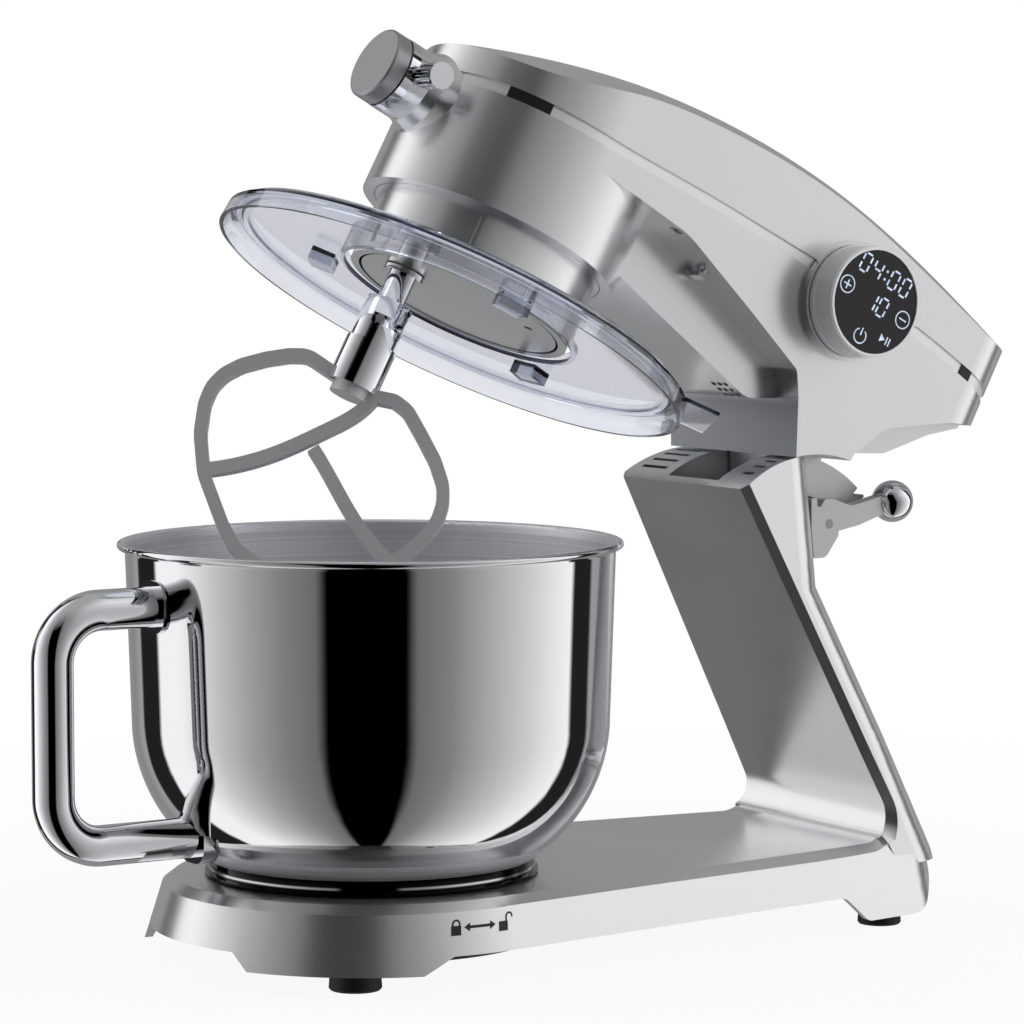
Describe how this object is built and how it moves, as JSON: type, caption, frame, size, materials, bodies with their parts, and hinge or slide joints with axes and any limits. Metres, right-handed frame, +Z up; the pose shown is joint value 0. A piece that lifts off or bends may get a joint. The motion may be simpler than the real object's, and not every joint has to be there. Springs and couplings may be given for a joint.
{
  "type": "tilt-head stand mixer",
  "caption": "Tilt-head stand mixer with raised head, clear splash guard, flat beater and a polished steel bowl with a side handle.",
  "frame": {"origin": "centre of the footprint's bounding box, on the worktop under the feet", "axes": "+Z up; +X from the bowl's handle towards the column and the head's tail; the display knob is on the -Y side"},
  "size_m": [0.5438, 0.2442, 0.4468],
  "materials": {
    "silver_paint": "satin metallic paint",
    "polished_steel": "mirror polished outside, brushed inside",
    "chrome": "mirror",
    "satin_aluminium": "satin",
    "cast_aluminium": "as cast",
    "rubber": "matte",
    "black_plastic": "matte",
    "silver_plastic": "satin",
    "bronze": "machined",
    "clear_plastic": "clear, gloss",
    "black_glass": "gloss",
    "green_board": "matte",
    "copper": "wound wire",
    "steel": "machined"
  },
  "bodies": {
    "stand": {"stand_casting": "silver_paint", "column_cover": "silver_paint", "column_screws": "steel", "base_plate": "black_plastic", "plate_screws": "steel", "bowl_seat": "cast_aluminium", "foot_front_near": "rubber", "foot_front_far": "rubber", "foot_rear_near": "rubber", "foot_rear_far": "rubber", "foot_screws": "steel", "pivot_pin": "steel", "lever_bracket": "cast_aluminium", "lever_pin": "steel"},
    "lever": {"release_lever": "cast_aluminium", "lever_knob": "chrome"},
    "bowl": {"bowl": "polished_steel", "bowl_foot": "polished_steel", "bowl_handle": "chrome"},
    "head": {"head_cover": "silver_paint", "trim_band": "silver_plastic", "band_inlays": "black_plastic", "head_casting": "silver_paint", "head_screws": "steel", "hinge_lug": "cast_aluminium", "lug_bolts": "steel", "pivot_bush_near": "bronze", "pivot_bush_far": "bronze", "planet_housing": "silver_paint", "ring_gear": "steel", "gear_frame": "cast_aluminium", "carrier_bush_low": "bronze", "carrier_bush_top": "bronze", "motor_mount": "cast_aluminium", "motor_stator": "copper", "motor_bush_front": "bronze", "motor_bush_rear": "bronze", "hub_bush": "bronze", "hub_ring": "chrome", "display_housing": "silver_paint", "display_glass": "black_glass", "control_board": "green_board"},
    "motor": {"motor_armature": "steel", "motor_fan": "black_plastic", "drive_pinion": "steel"},
    "carrier": {"planet_carrier": "cast_aluminium", "crown_gear": "steel", "output_bush_low": "bronze", "output_bush_top": "bronze"},
    "output": {"output_shaft": "chrome", "planet_pinion": "steel", "beater_pin": "steel"},
    "beater": {"beater": "satin_aluminium", "beater_sleeve": "chrome"},
    "hub_drive": {"hub_shaft": "steel", "hub_pinion": "steel"},
    "hub_cap": {"hub_cap": "silver_paint"},
    "thumb_screw": {"thumb_screw": "chrome"},
    "speed_ring": {"speed_ring": "chrome"},
    "guard": {"splash_guard": "clear_plastic"}
  },
  "joints": [
    {"name": "head_tilt", "type": "hinge", "parent": "stand", "child": "head", "pos_m": [0.13112, 0, 0.167], "axis": [0, 1, 0], "range_deg": [-28.3, 0]},
    {"name": "carrier_spin", "type": "hinge", "parent": "head", "child": "carrier", "pos_m": [-0.02723, 0, 0.3454], "axis": [0.4741, 0, 0.8805], "continuous": true},
    {"name": "output_spin", "type": "hinge", "parent": "carrier", "child": "output", "pos_m": [-0.05716, 0, 0.36151], "axis": [0.4741, 0, 0.8805], "continuous": true},
    {"name": "beater_twist", "type": "hinge", "parent": "output", "child": "beater", "pos_m": [-0.08703, 0, 0.30604], "axis": [0.4741, 0, 0.8805], "range_deg": [-50, 0]},
    {"name": "motor_spin", "type": "hinge", "parent": "head", "child": "motor", "pos_m": [0.12646, 0, 0.31443], "axis": [0.8805, 0, -0.4741], "continuous": true},
    {"name": "hub_spin", "type": "hinge", "parent": "head", "child": "hub_drive", "pos_m": [-0.03334, 0, 0.40048], "axis": [0.8805, 0, -0.4741], "continuous": true},
    {"name": "hub_cap_pull", "type": "slide", "parent": "head", "child": "hub_cap", "axis": [-0.8805, 0, 0.4741], "range_m": [0, 0.025]},
    {"name": "thumb_turn", "type": "hinge", "parent": "head", "child": "thumb_screw", "pos_m": [-0.07339, -0.0185, 0.4242], "axis": [0, -1, 0], "continuous": true},
    {"name": "ring_turn", "type": "hinge", "parent": "head", "child": "speed_ring", "pos_m": [0.15118, -0.05564, 0.3152], "axis": [0, -1, 0], "continuous": true},
    {"name": "guard_twist", "type": "hinge", "parent": "head", "child": "guard", "pos_m": [-0.04311, 0, 0.3159], "axis": [0.4741, 0, 0.8805], "range_deg": [0, 18]},
    {"name": "bowl_twist", "type": "hinge", "parent": "stand", "child": "bowl", "pos_m": [-0.09287, 0, 0.042], "axis": [0, 0, 1], "range_deg": [0, 22]},
    {"name": "lever_swing", "type": "hinge", "parent": "stand", "child": "lever", "pos_m": [0.14713, -0.037, 0.203], "axis": [0, 1, 0], "range_deg": [0, 20], "stiffness_Nm_per_rad": 0.3, "springref_deg": -20.05}
  ],
  "couplings": [
    {"joint": "output_spin", "follows": "carrier_spin", "ratio": -3.125},
    {"joint": "motor_spin", "follows": "carrier_spin", "ratio": 2.6},
    {"joint": "hub_spin", "follows": "carrier_spin", "ratio": -2.6}
  ]
}
